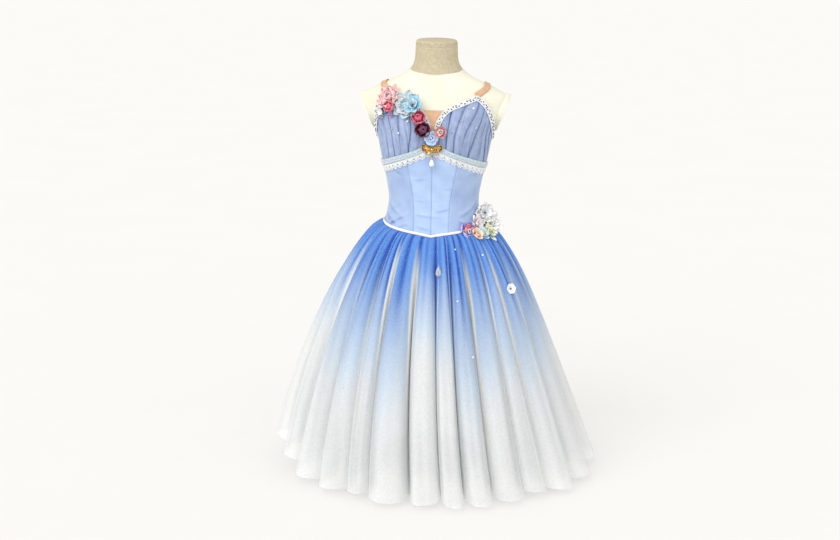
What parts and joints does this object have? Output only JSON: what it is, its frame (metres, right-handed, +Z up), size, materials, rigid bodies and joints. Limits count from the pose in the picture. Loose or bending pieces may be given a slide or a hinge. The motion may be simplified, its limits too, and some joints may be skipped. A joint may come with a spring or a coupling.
{
  "type": "ballet dress on a dress form",
  "caption": "Sleeveless ballet dress with a boned bodice, gathered cups, flower sprays and a long fluted tulle skirt, worn on a limbless dress form with a stand.",
  "frame": {"origin": "middle of the flat underside of the stand's base, on the floor", "axes": "+Z up; -Y is the front of the dress; +X is the wearer's left"},
  "size_m": [0.8289, 0.7744, 1.0933],
  "materials": {
    "form_cover": "smooth ivory jersey over a firm form",
    "neck_linen": "tight plain-weave linen",
    "arm_plate": "ivory jersey over a flat plate",
    "stand_enamel": "white stove enamel",
    "ice_blue_satin": "matt satin",
    "dusky_blue_chiffon": "gathered chiffon",
    "nude_stretch_net": "power net",
    "beaded_braid": "white braid with seed beads",
    "mint_ribbon": "woven ribbon with a silver thread",
    "white_lace": "guipure lace",
    "white_piping": "satin piping",
    "hook_tape": "woven tape",
    "ombre_tulle": "glitter tulle, dyed blue at the waist and white at the hem",
    "white_net": "soft white net",
    "gold_metal": "cast and gilt",
    "pearl": "pearl lustre",
    "crystal": "clear cut drop",
    "white_petals": "stiffened organza",
    "pink_petals": "ruffled satin ribbon",
    "red_petals": "folded satin ribbon",
    "plum_petals": "folded satin ribbon",
    "blue_petals": "cut organza",
    "violet_petals": "organza",
    "green_petals": "felt leaves"
  },
  "bodies": {
    "dress": {"back_hook_tape": "hook_tape", "bodice_back_centre_left": "ice_blue_satin", "bodice_back_centre_right": "ice_blue_satin", "bodice_back_side_left": "ice_blue_satin", "bodice_back_side_right": "ice_blue_satin", "bodice_front_centre_left": "ice_blue_satin", "bodice_front_centre_right": "ice_blue_satin", "bodice_front_side_left": "ice_blue_satin", "bodice_front_side_right": "ice_blue_satin", "bow_brooch": "gold_metal", "cup_braid_left": "beaded_braid", "cup_braid_right": "beaded_braid", "cup_left": "dusky_blue_chiffon", "cup_right": "dusky_blue_chiffon", "flower_aqua": "blue_petals", "flower_blue_centre": "blue_petals", "flower_blush_star": "white_petals", "flower_coral_bud": "red_petals", "flower_green_white_fringe": "white_petals", "flower_orange_heart": "white_petals", "flower_pale_aqua": "blue_petals", "flower_pale_blue": "blue_petals", "flower_pink_ruffle": "pink_petals", "flower_rose_pink": "red_petals", "flower_rose_plum": "plum_petals", "flower_rose_red": "red_petals", "flower_violet_organza": "violet_petals", "flower_violet_pink": "violet_petals", "flower_white_tulle": "white_petals", "form_arm_cap_left": "arm_plate", "form_arm_cap_right": "arm_plate", "form_neck": "neck_linen", "form_neck_cap": "neck_linen", "form_torso": "form_cover", "lace_edging_left": "white_lace", "lace_edging_right": "white_lace", "leaves_cream_green": "green_petals", "neckline_insert": "nude_stretch_net", "skirt_crystal_drop": "crystal", "skirt_net_back_left": "white_net", "skirt_net_back_right": "white_net", "skirt_net_front_left": "white_net", "skirt_net_front_right": "white_net", "skirt_tulle_back_left": "ombre_tulle", "skirt_tulle_back_right": "ombre_tulle", "skirt_tulle_front_left": "ombre_tulle", "skirt_tulle_front_right": "ombre_tulle", "skirt_white_blossom": "white_petals", "stand_base": "stand_enamel", "stand_post": "stand_enamel", "strap_left": "nude_stretch_net", "strap_right": "nude_stretch_net", "underbust_band_left": "mint_ribbon", "underbust_band_right": "mint_ribbon", "waist_piping": "white_piping"},
    "pendant": {"pearl_drop": "pearl"}
  },
  "joints": [
    {"name": "pendant_swing", "type": "hinge", "parent": "dress", "child": "pendant", "pos_m": [0, -0.119, 0.8165], "axis": [0, -1, 0], "range_deg": [-35, 35]}
  ]
}
